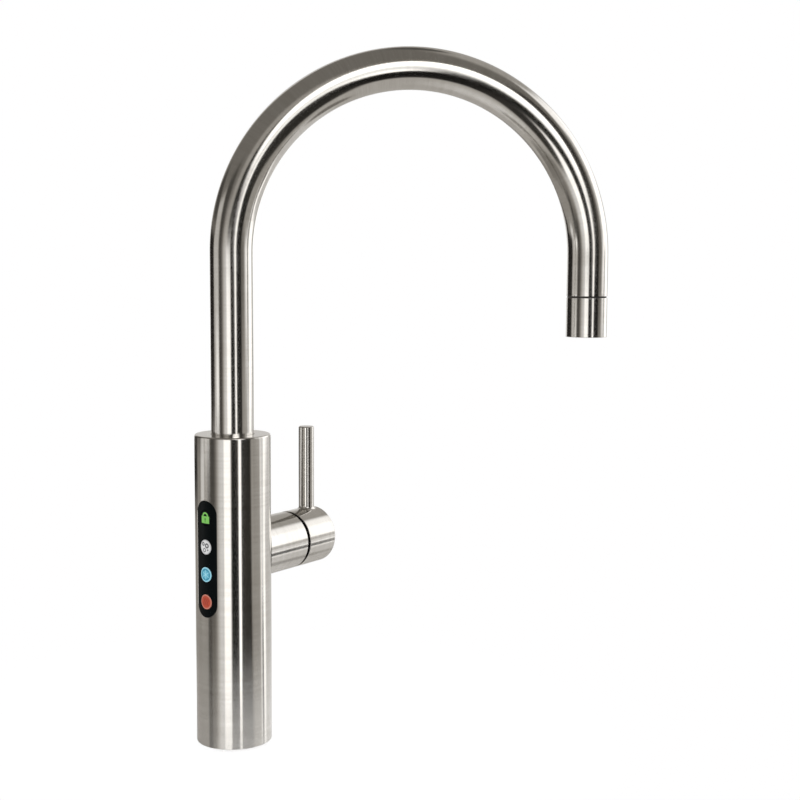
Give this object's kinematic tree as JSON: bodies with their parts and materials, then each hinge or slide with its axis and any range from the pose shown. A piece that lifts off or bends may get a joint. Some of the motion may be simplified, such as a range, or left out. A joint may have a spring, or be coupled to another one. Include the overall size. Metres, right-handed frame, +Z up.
{
  "type": "boiling water tap",
  "caption": "Boiling water kitchen tap with a round upright body, touch panel, side lever and swivelling arched spout.",
  "frame": {"origin": "centre of the body's foot, on the worktop", "axes": "+Z up along the body, +X along the spout's reach at rest; the lever stands at an azimuth of 43.7 degrees and the touch panel at 219 degrees"},
  "size_m": [0.283, 0.0986, 0.4605],
  "materials": {
    "brushed_steel": "fine brushing round each tube, satin, slightly warm grey",
    "steel_pipe": "plain drawn or turned stainless steel",
    "brass": "turned brass",
    "rubber": "matt black seal rubber",
    "grey_rubber": "soft grey silicone",
    "black_plastic": "moulded, fine matt",
    "white_plastic": "moulded or extruded, satin",
    "gloss_black": "hard gloss black, with the marks of the keys printed from behind",
    "key_white": "gloss, white print under a clear face",
    "key_blue": "gloss, light blue print under a clear face",
    "key_red": "gloss, soft red print under a clear face",
    "ceramic": "lapped alumina",
    "circuit_board": "green solder mask"
  },
  "bodies": {
    "root": {"body_shell": "brushed_steel", "base_seal": "rubber", "base_plate": "brass", "hot_supply_line": "steel_pipe", "cold_supply_line": "steel_pipe", "filtered_supply_line": "white_plastic", "filtered_riser": "white_plastic", "boiling_riser": "steel_pipe", "filtered_tee": "brass", "valve_block": "brass", "filtered_line_seal": "rubber", "swivel_seat": "brass", "thrust_washer": "black_plastic", "spout_bush": "black_plastic", "valve_barrel": "brushed_steel", "cartridge_seal": "rubber", "cartridge_body": "white_plastic", "fixed_ceramic_disc": "ceramic", "cartridge_cap": "white_plastic", "cartridge_nut": "brass", "seam_ring": "black_plastic", "touch_lens": "gloss_black", "keypad_membrane": "grey_rubber", "control_board": "circuit_board", "board_tray": "black_plastic", "board_screw_lower": "steel_pipe", "board_screw_upper": "steel_pipe", "board_lead": "black_plastic", "lead_grommet": "rubber"},
    "spout": {"spout_tube": "brushed_steel", "filtered_line": "white_plastic", "boiling_line": "steel_pipe", "spout_journal": "brass", "journal_o_ring_lower": "rubber", "journal_o_ring_upper": "rubber", "line_spacer": "black_plastic", "outlet_sleeve": "brushed_steel", "outlet_washer": "rubber", "outlet_adapter": "brass", "aerator_gasket": "rubber", "aerator_body": "black_plastic", "flow_grid": "black_plastic", "boiling_jet_guide": "black_plastic"},
    "lever": {"lever_cap": "brushed_steel", "lever_rod": "brushed_steel", "cartridge_spindle": "brass", "lever_carrier": "brass", "lever_set_screw": "steel_pipe", "moving_ceramic_disc": "ceramic"},
    "lock_key": {"key_lock": "gloss_black"},
    "sparkling_key": {"key_sparkling": "key_white"},
    "chilled_key": {"key_chilled": "key_blue"},
    "boiling_key": {"key_boiling": "key_red"}
  },
  "joints": [
    {"name": "spout_swivel", "type": "hinge", "parent": "root", "child": "spout", "pos_m": [0, 0, 0.172], "axis": [0, 0, 1], "range_deg": [-136, 44]},
    {"name": "lever_turn", "type": "hinge", "parent": "root", "child": "lever", "pos_m": [0, 0, 0.1257], "axis": [0.723, 0.6909, 0], "range_deg": [0, 100]},
    {"name": "lock_key_press", "type": "slide", "parent": "root", "child": "lock_key", "axis": [0.7771, 0.6293, 0], "range_m": [0, 0.0005], "stiffness_N_per_m": 800, "springref_m": -0.0005},
    {"name": "sparkling_key_press", "type": "slide", "parent": "root", "child": "sparkling_key", "axis": [0.7771, 0.6293, 0], "range_m": [0, 0.0005], "stiffness_N_per_m": 800, "springref_m": -0.0005},
    {"name": "chilled_key_press", "type": "slide", "parent": "root", "child": "chilled_key", "axis": [0.7771, 0.6293, 0], "range_m": [0, 0.0005], "stiffness_N_per_m": 800, "springref_m": -0.0005},
    {"name": "boiling_key_press", "type": "slide", "parent": "root", "child": "boiling_key", "axis": [0.7771, 0.6293, 0], "range_m": [0, 0.0005], "stiffness_N_per_m": 800, "springref_m": -0.0005}
  ]
}
